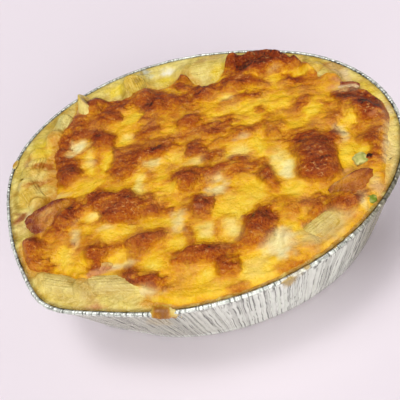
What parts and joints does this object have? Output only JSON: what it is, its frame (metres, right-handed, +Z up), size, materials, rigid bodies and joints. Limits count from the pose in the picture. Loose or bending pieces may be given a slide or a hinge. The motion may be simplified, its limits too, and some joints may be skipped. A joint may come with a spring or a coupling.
{
  "type": "baked pasta in a foil tray",
  "caption": "Baked tube pasta with ham under browned, blistered melted cheese, filling an oval pleated foil tray with a rolled rim, one end blunt and one corner pulled out",
  "frame": {"origin": "middle of the tray's outline, on the surface that it stands on", "axes": "+X along the oval towards its rounder end, +Y to the back, +Z up"},
  "size_m": [0.2009, 0.163, 0.0677],
  "materials": {
    "foil": "bright thin foil, crimped",
    "sauce": "moist cream sauce",
    "cheese": "melted cheese, browned in patches, slightly oily",
    "pasta": "cooked ridged pasta",
    "ham": "moist baked ham",
    "pepper": "moist cooked pepper"
  },
  "bodies": {
    "root": {"foil_tray": "foil", "pasta_bed": "sauce", "cheese_topping": "cheese", "penne_1": "pasta", "penne_2": "pasta", "penne_3": "pasta", "penne_4": "pasta", "penne_5": "pasta", "penne_6": "pasta", "penne_7": "pasta", "penne_8": "pasta", "penne_9": "pasta", "penne_10": "pasta", "ham_slice_1": "ham", "ham_slice_2": "ham", "ham_slice_3": "ham", "ham_slice_4": "ham", "green_pepper_1": "pepper", "green_pepper_2": "pepper"}
  },
  "joints": []
}
